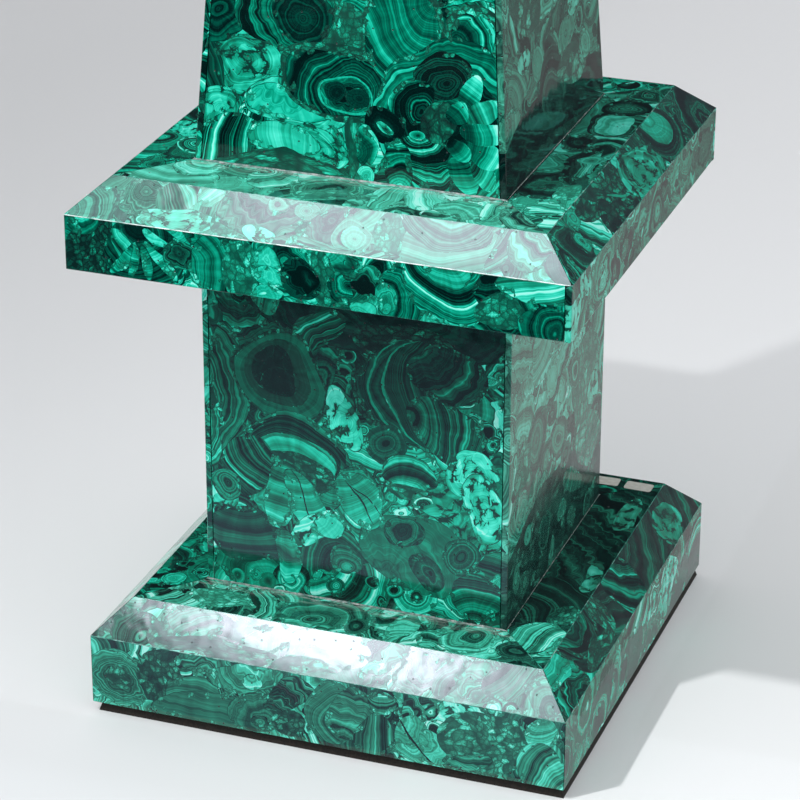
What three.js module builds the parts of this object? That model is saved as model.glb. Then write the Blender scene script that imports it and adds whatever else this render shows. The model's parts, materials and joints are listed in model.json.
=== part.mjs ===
// A malachite obelisk: a bevelled base slab on a thin pad, a square pedestal, a bevelled upper slab,
// a tapered shaft and its pointed tip. Each tier is a block faced with thin strips of polished malachite.
// Millimetres, +Z up. The front is -Y.

import * as THREE from 'three';
import { ConvexGeometry } from 'three/addons/geometries/ConvexGeometry.js';

// Driving dimensions. "half" is half of a tier's width, and "shift" is how far its centre sits from the
// base slab's centre, because the tiers are stacked by hand. The pad's sides lean in by "slope" on the way up.
const pad = { half: 123.4, slope: 1.6, thickness: 5.25, shift: [1.1, 0] };
const base = { half: 125, edgeHeight: 38, bevelRun: 17, bevelRise: 17, shift: [0, 0] };
const pedestal = { half: 79.75, height: 183.5, taper: 0, shift: [-0.75, 2.75] };
const slab = { half: 125.75, edgeHeight: 28, bevelRun: 18, bevelRise: 16, shift: [-2.25, -3] };
const shaft = { half: 78.75, height: 500, taper: 0.065, shift: [-3.25, 1] };
const tipHeight = 75;

const facing = 3; // thickness of the malachite
const glueBed = 0.3; // between a facing and its block
const joint = 0.5; // between two upright facings, and round the foot and head of a column
const nip = 0.25; // how far a strip stops short of the middle of a mitre
const bead = { width: 1.2, height: 1, clearance: 0.05 }; // the line of filler at a column's foot
const label = { length: 15, width: 9, corner: 1.5, thickness: 0.2 };
const labelPlaces = [
  { name: 'label_left', x: 77.5, y: 100, turn: 2 },
  { name: 'label_right', x: 96.2, y: 99.3, turn: -1 },
];

// The frame's origin is under the middle of the whole plan. The upper slab reaches furthest to the left
// and to the front, and the base slab to the right and to the back.
const planCentre = slab.shift.map((shift) => (base.half + shift - slab.half) / 2);

// Heights, from the surface that the pad stands on.
const baseFoot = pad.thickness;
const baseTop = baseFoot + base.edgeHeight + base.bevelRise;
const slabFoot = baseTop + pedestal.height;
const slabTop = slabFoot + slab.edgeHeight + slab.bevelRise;
const shaftTop = slabTop + shaft.height;

const sides = ['front', 'right', 'back', 'left'];
const group = new THREE.Group();

const finishes = {
  malachite: { color: 0x157a5e, roughness: 0.12 },
  block: { color: 0x23302c, roughness: 0.8 },
  pad: { color: 0x17120f, roughness: 0.9 },
  filler: { color: 0x9c948c, roughness: 0.75 },
  paper: { color: 0xd9d6cc, roughness: 0.85 },
};

function addPiece(name, geometry, finish) {
  const material = new THREE.MeshStandardMaterial({ ...finishes[finish], metalness: 0 });
  const mesh = new THREE.Mesh(geometry, material);
  mesh.name = name;
  group.add(mesh);
  return mesh;
}

// A level square of a tier: its four limits and its height.
function square(tier, half, z) {
  const x = tier.shift[0] - planCentre[0];
  const y = tier.shift[1] - planCentre[1];
  return { left: x - half, right: x + half, front: y - half, back: y + half, z };
}

function corners(level) {
  const { left, right, front, back, z } = level;
  return [
    new THREE.Vector3(left, front, z),
    new THREE.Vector3(right, front, z),
    new THREE.Vector3(right, back, z),
    new THREE.Vector3(left, back, z),
  ];
}

// One side of a level square, seen from outside it: where the side starts and ends along its own
// direction, and how far out it lies.
function sideOf(level, side) {
  const { left, right, front, back } = level;
  return {
    front: { start: left, end: right, out: -front },
    right: { start: front, end: back, out: right },
    back: { start: -right, end: -left, out: back },
    left: { start: -back, end: -front, out: -left },
  }[side];
}

function pointOn(side, along, out, z) {
  const [x, y] = {
    front: [along, -out],
    right: [out, along],
    back: [-along, out],
    left: [-out, -along],
  }[side];
  return new THREE.Vector3(x, y, z);
}

// A facing on one side, between an outer and an inner face. Each face is given by the level squares of its
// two long edges. The ends are mitred, or run through to the corners, or stand between the neighbours, or
// the first one runs through and the last one stops at the neighbour.
function facingStrip(name, side, outerFace, innerFace, ends) {
  const points = [];
  [0, 1].forEach((edge) => {
    const outer = sideOf(outerFace[edge], side);
    const inner = sideOf(innerFace[edge], side);
    const limits = {
      mitred: [
        [outer.start + nip, outer.end - nip],
        [inner.start + nip, inner.end - nip],
      ],
      through: [
        [outer.start, outer.end],
        [outer.start, outer.end],
      ],
      between: [
        [inner.start + joint, inner.end - joint],
        [inner.start + joint, inner.end - joint],
      ],
      lapped: [
        [outer.start, inner.end - joint],
        [outer.start, inner.end - joint],
      ],
    }[ends];
    [outerFace[edge], innerFace[edge]].forEach((level, face) => {
      const { out } = sideOf(level, side);
      limits[face].forEach((along) => points.push(pointOn(side, along, out, level.z)));
    });
  });
  addPiece(name, new ConvexGeometry(points), 'malachite');
}

// Where a bevelled slab's faces lie once they are all moved in by a depth: the top of its upright face,
// and half the width of its flat top.
function insetBevel(tier, foot, depth) {
  const slope = Math.hypot(tier.bevelRun, tier.bevelRise);
  return {
    half: tier.half - depth,
    edgeTop: foot + tier.edgeHeight - (depth * (slope - tier.bevelRise)) / tier.bevelRun,
    topHalf: tier.half - tier.bevelRun - (depth * (slope - tier.bevelRun)) / tier.bevelRise,
    top: foot + tier.edgeHeight + tier.bevelRise - depth,
  };
}

// The upright bands, the bevels and the ledge of one slab. The ledge ends at the column that stands on it.
function faceSlab(name, tier, foot, column, bandEnds) {
  const slope = Math.hypot(tier.bevelRun, tier.bevelRise);
  const nipRun = (nip * tier.bevelRun) / slope;
  const nipRise = (nip * tier.bevelRise) / slope;
  const columnHalf = column.half + joint + column.taper * facing;
  const [outer, inner] = [0, facing].map((depth) => {
    const { half, edgeTop, topHalf, top } = insetBevel(tier, foot, depth);
    return {
      edge: [square(tier, half, foot), square(tier, half, edgeTop - nip)],
      bevel: [
        square(tier, half - nipRun, edgeTop + nipRise),
        square(tier, topHalf + nipRun, top - nipRise),
      ],
      ledge: [square(tier, topHalf - nip, top), square(column, columnHalf, top)],
    };
  });
  sides.forEach((side) => {
    facingStrip(`${name}_edge_${side}`, side, outer.edge, inner.edge, bandEnds);
    facingStrip(`${name}_bevel_${side}`, side, outer.bevel, inner.bevel, 'mitred');
    facingStrip(`${name}_ledge_${side}`, side, outer.ledge, inner.ledge, 'mitred');
  });
}

// The facings of a slab's overhanging underside, between its upright bands and the column below it.
function faceSoffit(name, tier, foot, column) {
  const outerHalf = tier.half - facing - joint;
  const columnHalf = column.half + joint;
  const [lower, upper] = [foot, foot + facing].map((z) => [
    square(tier, outerHalf, z),
    square(column, columnHalf, z),
  ]);
  sides.forEach((side) => facingStrip(`${name}_soffit_${side}`, side, lower, upper, 'mitred'));
}

// The block inside a slab. Its underside is bare on the pad, or backs the facings of a soffit.
function addSlabCore(name, tier, foot, underside) {
  const { half, edgeTop, topHalf, top } = insetBevel(tier, foot, facing + glueBed);
  const levels = [
    square(tier, half, underside),
    square(tier, half, edgeTop),
    square(tier, topHalf, top),
  ];
  addPiece(`${name}_core`, new ConvexGeometry(levels.flatMap(corners)), 'block');
}

// A square column that may narrow upwards: its block, and four panels that start and end a little inside
// the slabs' facings. Its half width is given at the top of the slab that it stands on.
function addColumn(name, tier, foot, coreSpan, panelSpan) {
  const slant = Math.hypot(1, tier.taper);
  const faceAt = (depth, z) => square(tier, tier.half - tier.taper * (z - foot) - depth * slant, z);
  const coreLevels = coreSpan.map((z) => faceAt(facing + glueBed, z));
  addPiece(`${name}_core`, new ConvexGeometry(coreLevels.flatMap(corners)), 'block');
  const outerFace = panelSpan.map((z) => faceAt(0, z));
  const innerFace = panelSpan.map((z) => faceAt(facing, z));
  sides.forEach((side) => {
    const ends = side === 'right' || side === 'left' ? 'through' : 'between';
    facingStrip(`${name}_panel_${side}`, side, outerFace, innerFace, ends);
  });
}

function squareOutline(kind, level) {
  const outline = new kind();
  outline.setFromPoints(corners(level).map(({ x, y }) => new THREE.Vector2(x, y)));
  return outline;
}

// The line of filler in the corner between a column's foot and the ledge round it.
function addBead(name, tier, ledgeTop) {
  const innerHalf = tier.half + bead.clearance;
  const outline = squareOutline(THREE.Shape, square(tier, innerHalf + bead.width, 0));
  outline.holes.push(squareOutline(THREE.Path, square(tier, innerHalf, 0)));
  const geometry = new THREE.ExtrudeGeometry(outline, { depth: bead.height, bevelEnabled: false });
  addPiece(name, geometry, 'filler').position.z = ledgeTop;
}

function labelOutline() {
  const outline = new THREE.Shape();
  const [x, y] = [label.length / 2 - label.corner, label.width / 2 - label.corner];
  outline.absarc(x, y, label.corner, 0, Math.PI / 2);
  outline.absarc(-x, y, label.corner, Math.PI / 2, Math.PI);
  outline.absarc(-x, -y, label.corner, Math.PI, Math.PI * 1.5);
  outline.absarc(x, -y, label.corner, Math.PI * 1.5, Math.PI * 2);
  outline.closePath();
  return outline;
}

function addLabel({ name, x, y, turn }) {
  const options = { depth: label.thickness, bevelEnabled: false, curveSegments: 5 };
  const mesh = addPiece(name, new THREE.ExtrudeGeometry(labelOutline(), options), 'paper');
  mesh.position.set(x - planCentre[0], y - planCentre[1], baseTop);
  mesh.rotation.z = THREE.MathUtils.degToRad(turn);
}

const padLevels = [square(pad, pad.half, 0), square(pad, pad.half - pad.slope, pad.thickness)];
addPiece('base_pad', new ConvexGeometry(padLevels.flatMap(corners)), 'pad');

addSlabCore('base', base, baseFoot, baseFoot);
faceSlab('base', base, baseFoot, pedestal, 'mitred');

const baseCoreTop = baseTop - facing - glueBed;
const slabCoreFoot = slabFoot + facing + glueBed;
addColumn('pedestal', pedestal, baseTop, [baseCoreTop, slabCoreFoot], [baseTop - facing, slabFoot + facing]);
addBead('pedestal_bead', pedestal, baseTop);

addSlabCore('slab', slab, slabFoot, slabCoreFoot);
faceSlab('slab', slab, slabFoot, shaft, 'lapped');
faceSoffit('slab', slab, slabFoot, pedestal);

const slabCoreTop = slabTop - facing - glueBed;
addColumn('shaft', shaft, slabTop, [slabCoreTop, shaftTop], [slabTop - facing, shaftTop]);
addBead('shaft_bead', shaft, slabTop);

const tipFoot = square(shaft, shaft.half - shaft.taper * shaft.height, shaftTop);
const tipPoint = square(shaft, 0, shaftTop + tipHeight);
const apex = new THREE.Vector3(tipPoint.left, tipPoint.front, tipPoint.z);
addPiece('pyramidion', new ConvexGeometry([...corners(tipFoot), apex]), 'malachite');

labelPlaces.forEach(addLabel);

export default group;
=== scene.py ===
# Polished malachite obelisk on a double plinth. Metres, +Z up, the front is -Y.
import json
import math
from functools import partialmethod

import bmesh
import bpy
from mathutils import Matrix, Vector, noise


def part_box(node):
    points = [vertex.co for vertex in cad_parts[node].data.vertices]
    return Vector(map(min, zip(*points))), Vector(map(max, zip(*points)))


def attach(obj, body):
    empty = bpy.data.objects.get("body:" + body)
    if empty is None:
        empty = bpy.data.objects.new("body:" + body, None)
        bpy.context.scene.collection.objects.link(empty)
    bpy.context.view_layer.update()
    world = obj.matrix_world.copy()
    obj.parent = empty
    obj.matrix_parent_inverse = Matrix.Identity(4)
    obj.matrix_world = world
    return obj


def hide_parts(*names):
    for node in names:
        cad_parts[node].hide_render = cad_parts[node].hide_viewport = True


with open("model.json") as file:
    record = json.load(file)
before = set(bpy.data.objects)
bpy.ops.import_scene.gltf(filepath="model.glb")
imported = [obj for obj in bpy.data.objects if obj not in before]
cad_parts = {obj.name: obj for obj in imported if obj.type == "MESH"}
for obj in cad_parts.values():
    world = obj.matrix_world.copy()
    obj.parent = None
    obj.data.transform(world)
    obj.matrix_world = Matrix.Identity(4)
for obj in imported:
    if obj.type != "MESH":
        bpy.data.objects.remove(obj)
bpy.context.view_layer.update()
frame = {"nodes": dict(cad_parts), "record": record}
print("frame loaded:", len(frame["nodes"]), "nodes")

# Camera. The eye and the aim are in the frame of the object.
cameraLook = {
    "eye": (0.5119, -1.4317, 0.8463),
    "aim": (-0.0028, 0.0003, 0.1395),
    "roll": 0.2,  # degrees
    "lens": 147.7,
    "sensor": 36.0,
    "farthest": 50,
}


def makeCamera(look):
    data = bpy.data.cameras.new("camera")
    data.lens = look["lens"]
    data.sensor_width = look["sensor"]
    data.clip_end = look["farthest"]
    camera = bpy.data.objects.new("camera", data)
    eye = Vector(look["eye"])
    turn = (eye - Vector(look["aim"])).to_track_quat("Z", "Y").to_matrix().to_4x4()
    roll = Matrix.Rotation(math.radians(look["roll"]), 4, "Z")
    camera.matrix_world = Matrix.Translation(eye) @ turn @ roll
    bpy.context.scene.collection.objects.link(camera)
    bpy.context.scene.camera = camera


makeCamera(cameraLook)
bpy.context.scene.view_settings.view_transform = "Standard"
print("camera done")


# Adds nodes to one tree. A value that it is given is a number, a tuple or another node's output.
class Nodes:
    def __init__(self, tree):
        self.tree = tree

    def put(self, value, socket):
        if isinstance(value, bpy.types.NodeSocket):
            self.tree.links.new(value, socket)
        else:
            socket.default_value = value

    def new(self, kind, inputs=None, **settings):
        node = self.tree.nodes.new("ShaderNode" + kind)
        for name, value in settings.items():
            setattr(node, name, value)
        for name, value in (inputs or {}).items():
            self.put(value, node.inputs[name])
        return node

    def calc(self, operation, *values, clamp=False):
        return self.new("Math", dict(enumerate(values)), operation=operation, use_clamp=clamp).outputs[0]

    def vecCalc(self, operation, *values):
        return self.new("VectorMath", dict(enumerate(values)), operation=operation).outputs[0]

    add = partialmethod(calc, "ADD")
    sub = partialmethod(calc, "SUBTRACT")
    mul = partialmethod(calc, "MULTIPLY")
    mulAdd = partialmethod(calc, "MULTIPLY_ADD")
    addV = partialmethod(vecCalc, "ADD")
    subV = partialmethod(vecCalc, "SUBTRACT")
    mulV = partialmethod(vecCalc, "MULTIPLY")
    mulAddV = partialmethod(vecCalc, "MULTIPLY_ADD")

    def scale(self, vector, factor):
        return self.new("VectorMath", {0: vector, 3: factor}, operation="SCALE").outputs[0]

    def length(self, vector):
        return self.new("VectorMath", {0: vector}, operation="LENGTH").outputs[1]

    # A place in metres as a flat one in millimetres, moved by a shift.
    def inMm(self, place, shift):
        return self.mulAddV(place, (1000, 1000, 0), shift)

    def split(self, vector):
        return self.new("SeparateXYZ", {0: vector}).outputs

    def join(self, x=0.0, y=0.0, z=0.0):
        return self.new("CombineXYZ", {0: x, 1: y, 2: z}).outputs[0]

    # The node's sockets come in a set for each kind of value.
    def mix(self, kind, factor, a, b, **settings):
        first, output = {"FLOAT": (2, 0), "VECTOR": (4, 1), "RGBA": (6, 2)}[kind]
        inputs = {0: factor, first: a, first + 1: b}
        return self.new("Mix", inputs, data_type=kind, **settings).outputs[output]

    mixFloat = partialmethod(mix, "FLOAT")
    mixVector = partialmethod(mix, "VECTOR")
    mixColour = partialmethod(mix, "RGBA")

    def ramp(self, factor, stops):
        node = self.new("ValToRGB", {0: factor})
        elements = node.color_ramp.elements
        while len(elements) < len(stops):
            elements.new(0.5)
        for element, (place, colour) in zip(elements, stops):
            element.position = place
            element.color = (*colour, 1)
        return node.outputs[0]

    def greys(self, factor, stops):
        return self.ramp(factor, [(place, (tone, tone, tone)) for place, tone in stops])

    def smoothStep(self, value, low, high):
        inputs = {"Value": value, "From Min": low, "From Max": high}
        return self.new("MapRange", inputs, interpolation_type="SMOOTHSTEP").outputs[0]

    def noise(self, place, dimensions, detail, roughness=0.5):
        kind = "W" if dimensions == "1D" else "Vector"
        inputs = {kind: place, "Scale": 1.0, "Detail": detail, "Roughness": roughness}
        return self.new("TexNoise", inputs, noise_dimensions=dimensions).outputs

    def cells(self, place, feature="F1", **inputs):
        inputs = {"Vector": place, "Scale": 1.0, **inputs}
        return self.new("TexVoronoi", inputs, voronoi_dimensions="2D", feature=feature).outputs

    def bump(self, height, distance, strength):
        return self.new("Bump", {"Height": height, "Distance": distance, "Strength": strength}).outputs[0]

    def finish(self, kind, inputs):
        self.new("OutputMaterial", {"Surface": self.new(kind, inputs).outputs[0]})


def newMaterial(name):
    material = bpy.data.materials.new(name)
    material.use_nodes = True
    material.node_tree.nodes.clear()
    return material, Nodes(material.node_tree)


def newGroup(name, inputs, outputs):
    tree = bpy.data.node_groups.new(name, "ShaderNodeTree")
    for way, sockets in (("INPUT", inputs), ("OUTPUT", outputs)):
        for socketName, kind in sockets.items():
            tree.interface.new_socket(socketName, in_out=way, socket_type="NodeSocket" + kind)
    start = tree.nodes.new("NodeGroupInput").outputs
    end = tree.nodes.new("NodeGroupOutput").inputs
    return Nodes(tree), start, end


# The stone. Every distance in the pattern is in millimetres on the face that carries it. What changes from
# nodule to nodule or from place to place is given by two numbers: one that a chance or a slow noise from 0 to
# 1 is multiplied by, and one that is added.
broken, crumbs = 2.0, 3.0  # two kinds of nodule
stoneLook = {
    "cell": 33.0,  # a nodule of the mosaic
    "bend": (6.0, 34.0),  # how far outlines and bands are bent, and over what distance
    "rough": (1.3, 6.0),  # the same for the small unevenness of outlines
    "away": (2.6, 0.1),  # how far from a nodule's middle the heart of its rings lies, in nodules
    "bias": (0.42, -0.22),  # the brightness of a nodule
    "contrast": (0.7, 0.35),  # the contrast of its bands
    "brokenOver": 0.88,  # a chance over this makes it broken stone
    # round nodules over the mosaic: spacing, shift, least and further radius as shares of the spacing, how
    # much closer their rings lie, the lowest share of them that shows and how much it grows in places
    "rounds": [
        (31.0, (71, 37, 0), 0.20, 0.26, 1.1, 0.25, 0.6),
        (12.0, (17, 93, 0), 0.18, 0.28, 1.6, 0.06, 0.6),
    ],
    "roundPlaces": (0.42, 0.62),  # between which values of a slow noise more of them come in
    "roundBias": (0.5, -0.22),
    "roundContrast": (0.6, 0.6),
    "lobe": 9.0,  # the swellings that scallop the bands
    "lobeChange": (1.1, 0.5),  # how many more or fewer of them there are
    # the spacing of broad bands, of fine lines and of hair lines, and how far each of them swings the tone
    "bands": ((9.0, 2.9), (1.1, 0.95), (5.0, 0.6)),
    "middle": 0.44,  # the tone that the bands swing about
    "fibre": (0.24, 7.0, 0.03),  # how far fibres swing it, how many lie round a heart and how many per mm
    "unevenBands": 0.4,  # how much of the small unevenness of outlines the bands have
    "patch": 0.16,  # per mm: the slow noise by which cracks and crumbs come and go
    "grain": 2.8,  # the crumbs between the nodules
    "crumbs": 3.4,  # the width of their strip along an outline
    "crumbPlaces": (0.46, 0.64),  # between which values of the slow noise they come in
    "shard": 8.0,  # the broken pieces of the bright stone
    "jagged": 0.7,  # how far their outlines are bent, as a share of their size
    "crack": (0.065, -0.02),  # the crack between them, as a share of their size
    "crackPlaces": (0.38, 0.64),  # between which values of the slow noise it opens
    "shardTone": (-0.5, 0.92),
    "crackTone": 0.2,
    "crumbTone": (0.8, -0.06),
    "gapTone": 0.22,  # of the gaps between crumbs
    "rim": (0.35, 0.12),  # the line round a nodule: its width and tone
    "dull": 0.6,  # how dull the crumbs and the dullest nodules are
    "span": 0.9,  # the place in stoneColours of the palest stone that is common
    "calmed": 0.45,  # the tone to which a calm facing's tones are drawn
    "milk": (0.42, 0.62, 0.60),  # the colour of stone that has gone milky
    "roughness": (0.06, 0.3),  # of stone that isn't dull at all, and that is wholly dull
    "wave": (0.11, 0.096),  # the waves that the polishing has left: how many per mm, and their height
    # the pits: their spacing, their radius as a share of it, the share that is there, depth and colour
    "pit": (9.0, 0.055, 0.3, 0.3, (0.004, 0.010, 0.009)),
    "ior": 1.55,
}
# From the darkest bands to the palest.
stoneColours = [
    (0.00, (0.0003, 0.0090, 0.0085)),
    (0.126, (0.0003, 0.021, 0.0175)),
    (0.306, (0.0003, 0.066, 0.044)),
    (0.450, (0.0005, 0.160, 0.097)),
    (0.594, (0.0015, 0.315, 0.198)),
    (0.738, (0.012, 0.560, 0.390)),
    (0.900, (0.075, 0.800, 0.620)),
    (1.000, (0.320, 0.880, 0.760)),
]
# The hair lines, dark and bright, by where a slow noise passes these values. 0.5 leaves the band as it is.
hairTones = [
    (0.300, 0.50), (0.325, 0.80), (0.350, 0.50), (0.425, 0.50), (0.440, 0.20), (0.455, 0.52), (0.470, 0.20),
    (0.485, 0.50), (0.535, 0.50), (0.550, 0.86), (0.565, 0.45), (0.580, 0.18), (0.600, 0.50), (0.680, 0.75),
    (0.720, 0.50),
]

# What each nodule hands on to the bands: Heart is the middle of its rings and their turn, Stretch how close
# the rings lie in two directions and its seed, Tone its brightness at the heart, how that changes outwards
# and its kind, and Edge the distance to its outline. A kind up to 1.5 is the contrast of its bands. A seed
# only has to differ from nodule to nodule, so the numbers that make it and that it is multiplied by are
# arbitrary.
noduleSockets = {"Heart": "Vector", "Stretch": "Vector", "Tone": "Vector", "Edge": "Float"}


def makeMosaicGroup(look):
    g, start, end = newGroup("malachite mosaic", {"Point": "Vector"}, {"Bent": "Vector", **noduleSockets})
    point = start["Point"]
    far, over = look["bend"]
    bend = g.noise(g.scale(point, 1 / over), "2D", 1.0, 0.4)
    bent = g.mulAddV(bend["Color"], (far * 2, far * 2, 0), point)
    far, over = look["rough"]
    rough = g.noise(g.scale(point, 1 / over), "2D", 1.0)
    rough = g.mulAddV(rough["Color"], (far * 2, far * 2, 0), (-far, -far, 0))
    uneven = g.addV(bent, rough)

    # The large nodules, whose rings lie about a heart inside them or far outside.
    size = look["cell"]
    place = g.scale(uneven, 1 / size)
    cell = g.cells(place)
    edge = g.mul(g.cells(place, "DISTANCE_TO_EDGE")["Distance"], size)
    chance = g.split(cell["Color"])
    away = g.mulAdd(g.calc("POWER", chance[2], 2.0), *look["away"])
    offset = g.scale(g.subV(cell["Color"], (0.5, 0.5, 0.5)), away)
    heart = g.mulV(g.addV(cell["Position"], offset), (size, size, 0))
    stretch = g.join(1.0, 1.0, g.mulAdd(chance[0], 17.0, chance[2]))
    isBroken = g.mul(g.calc("GREATER_THAN", chance[0], look["brokenOver"]), broken)
    kind = g.calc("MAXIMUM", isBroken, g.mulAdd(chance[2], *look["contrast"]))
    tone = g.join(x=g.mulAdd(chance[1], *look["bias"]), z=kind)

    # Round ones that lie over them in places.
    for size, moved, least, more, close, lowest, growth in look["rounds"]:
        disc = g.cells(g.scale(g.addV(bent, moved), 1 / size))
        chance = g.split(disc["Color"])
        reach = g.mulAdd(chance[0], more, least)
        discEdge = g.mul(g.sub(reach, disc["Distance"]), size)
        common = g.mulAdd(g.smoothStep(bend["Fac"], *look["roundPlaces"]), growth, lowest)
        isDisc = g.mul(g.calc("GREATER_THAN", discEdge, 0.0), g.calc("LESS_THAN", chance[1], common))
        discHeart = g.mulAddV(disc["Position"], (size, size, 0), tuple(-part for part in moved))
        discStretch = g.join(close, close, g.mulAdd(chance[2], 23.0, 31.0))
        discBias = g.mulAdd(chance[2], *look["roundBias"])
        discTone = g.join(x=discBias, z=g.mulAdd(chance[0], *look["roundContrast"]))
        heart = g.mixVector(isDisc, heart, discHeart)
        stretch = g.mixVector(isDisc, stretch, discStretch)
        tone = g.mixVector(isDisc, tone, discTone)
        edge = g.mixFloat(isDisc, edge, discEdge)
    share = look["unevenBands"]
    g.put(g.mulAddV(rough, (share, share, 0), bent), end["Bent"])
    for name, value in {"Heart": heart, "Stretch": stretch, "Tone": tone, "Edge": edge}.items():
        g.put(value, end[name])
    return g.tree


def makeBandGroup(look):
    inputs = {"Bent": "Vector", **noduleSockets}
    g, start, end = newGroup("malachite bands", inputs, {"Tone": "Float", "Dull": "Float"})
    bent, edge = start["Bent"], start["Edge"]
    turn = g.split(start["Heart"])[2]
    seed = g.split(start["Stretch"])[2]
    bias, rise, kind = g.split(start["Tone"])
    arm = g.mulV(g.subV(bent, start["Heart"]), (1, 1, 0))
    arm = g.new("VectorRotate", {"Vector": arm, "Angle": turn}, rotation_type="Z_AXIS").outputs[0]
    arm = g.mulV(g.mulV(arm, start["Stretch"]), (1, 1, 0))
    radius = g.length(arm)
    bias = g.mulAdd(radius, rise, bias)
    share = g.calc("FRACT", g.mul(seed, 3.7))
    perLobe = g.calc("DIVIDE", g.mulAdd(share, *look["lobeChange"]), look["lobe"])
    lumps = g.calc("DIVIDE", g.cells(bent, Scale=perLobe)["Distance"], perLobe)
    place = g.add(radius, g.mul(lumps, g.calc("POWER", share, 1.6)))

    # Broad bands, fine lines and hair lines across the growth, and fibres along it.
    (broadMm, broadSwing), (fineMm, fineSwing), (hairMm, hairSwing) = look["bands"]
    shift = g.mul(seed, 7.3)
    broad = g.noise(g.mulAdd(place, 1 / broadMm, shift), "1D", 2.5, 0.62)["Fac"]
    fine = g.noise(g.mulAdd(place, 1 / fineMm, shift), "1D", 1.0)["Fac"]
    hair = g.noise(g.mulAdd(place, 1 / hairMm, shift), "1D", 1.5)["Fac"]
    hair = g.split(g.greys(hair, hairTones))[0]
    swing = g.mul(g.sub(broad, 0.5), broadSwing)
    swing = g.mulAdd(g.sub(fine, 0.5), fineSwing, swing)
    swing = g.mulAdd(g.sub(hair, 0.5), hairSwing, swing)
    banded = g.mulAdd(swing, g.calc("MINIMUM", kind, 1.5), look["middle"])
    fibreSwing, perTurn, perMm = look["fibre"]
    outwards = g.scale(g.vecCalc("NORMALIZE", arm), perTurn)
    fibre = g.noise(g.mulAddV(bent, (perMm, perMm, 0), outwards), "2D", 2.0)["Fac"]
    banded = g.add(g.mulAdd(g.sub(fibre, 0.5), fibreSwing, banded), bias)

    # Bright stone broken into shards, with dark cracks that come and go.
    patch = g.noise(g.scale(bent, look["patch"]), "2D", 1.5)["Fac"]
    perPiece = g.mixFloat(g.calc("COMPARE", kind, broken, 0.4), 1 / look["grain"], 1 / look["shard"])
    pieces = g.scale(g.mulV(bent, start["Stretch"]), perPiece)
    jagged = g.noise(g.scale(pieces, 0.8), "2D", 2.0, 0.65)["Color"]
    pieces = g.mulAddV(jagged, (look["jagged"], look["jagged"], 0), pieces)
    inwards = g.cells(pieces, "DISTANCE_TO_EDGE", Detail=1.8, Roughness=0.75, Lacunarity=2.6)["Distance"]
    piece = g.cells(pieces)
    tint = g.split(piece["Color"])
    gap = g.mulAdd(g.smoothStep(patch, *look["crackPlaces"]), *look["crack"])
    whole = g.smoothStep(g.sub(inwards, gap), -0.01, 0.03)
    bright = g.mulAdd(tint[0], 0.22, g.mulAdd(swing, 0.3, g.mulAdd(patch, *look["shardTone"])))
    brokenTone = g.mixFloat(whole, look["crackTone"], g.add(bright, bias))

    # Crumbs along the outlines.
    crumbTone = g.mulAdd(g.calc("POWER", tint[1], 2.0), 0.55, g.mulAdd(patch, *look["crumbTone"]))
    crumbTone = g.mixFloat(g.smoothStep(inwards, -0.02, 0.12), look["gapTone"], crumbTone)
    crumbTone = g.mulAdd(bias, 0.6, crumbTone)
    crumbWidth = g.mul(g.smoothStep(patch, *look["crumbPlaces"]), look["crumbs"])
    onEdge = g.calc("LESS_THAN", edge, g.mulAdd(piece["Distance"], -1.5, crumbWidth))
    result = g.mixFloat(g.calc("GREATER_THAN", kind, broken - 0.4), banded, brokenTone)
    rimWidth, rimTone = look["rim"]
    result = g.mixFloat(g.smoothStep(edge, 0.0, rimWidth), rimTone, result)
    inCrumbs = g.calc("MAXIMUM", onEdge, g.calc("GREATER_THAN", kind, crumbs - 0.5))
    g.put(g.mixFloat(inCrumbs, result, crumbTone), end["Tone"])
    dull = g.calc("POWER", g.calc("FRACT", g.mul(seed, 5.13)), 3.0)
    g.put(g.mul(g.calc("MAXIMUM", dull, inCrumbs), look["dull"]), end["Dull"])
    return g.tree


# One nodule over those that are there already: it hands on its own values inside its ellipse.
def makeNoduleGroup():
    own = {"At": "Vector", "Turn": "Vector", "Size": "Vector", "Least": "Float",
           "Own heart": "Vector", "Own stretch": "Vector", "Own tone": "Vector"}
    g, start, end = newGroup("malachite nodule", {"Bent": "Vector", **noduleSockets, **own}, noduleSockets)
    ellipse = {"Location": start["At"], "Rotation": start["Turn"], "Scale": start["Size"]}
    local = g.new("Mapping", {"Vector": start["Bent"], **ellipse}, vector_type="TEXTURE").outputs[0]
    inwards = g.sub(1.0, g.length(local))
    inside = g.calc("GREATER_THAN", inwards, 0.0)
    for name in ("Heart", "Stretch", "Tone"):
        g.put(g.mixVector(inside, start[name], start["Own " + name.lower()]), end[name])
    g.put(g.mixFloat(inside, start["Edge"], g.mul(inwards, start["Least"])), end["Edge"])
    return g.tree


# A nodule that is given in a list: its middle, from the lower left corner of the facing, and how far it
# reaches from there, turned by "turn" degrees. Its rings follow its outline, or lie round a heart that is
# given. "tone" is its brightness in the middle, "rise" how much brighter it is a radius further out, "bands"
# their contrast or its kind, "fine" how much closer they lie than usual and "lobes" how scalloped they are. A
# clean one has no crumbs along its outline.
def nodule(x, y, wide, high, tone=0, bands=0.8, seed=1, fine=1, turn=0, heart=None, lobes=0.45, rise=0,
           clean=0):
    angle = math.radians(turn)
    least = min(wide, high)
    perMm = rise / (least * fine)
    stretch = (fine, fine)
    middle = 0
    if heart:
        middle = math.dist((x, y), heart) * fine
    else:
        heart = (x, y)
        stretch = (fine * (least / wide) ** 0.7, fine * (least / high) ** 0.7)
    return {
        "At": (x, y, 0),
        "Turn": (0, 0, angle),
        "Size": (wide, high, 1),
        "Least": least * (8 if clean else 1),
        "Own heart": (*heart, -angle),
        "Own stretch": (*stretch, 10 * seed + lobes / 3.7),
        "Own tone": (tone - perMm * middle, perMm, bands),
    }


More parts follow.
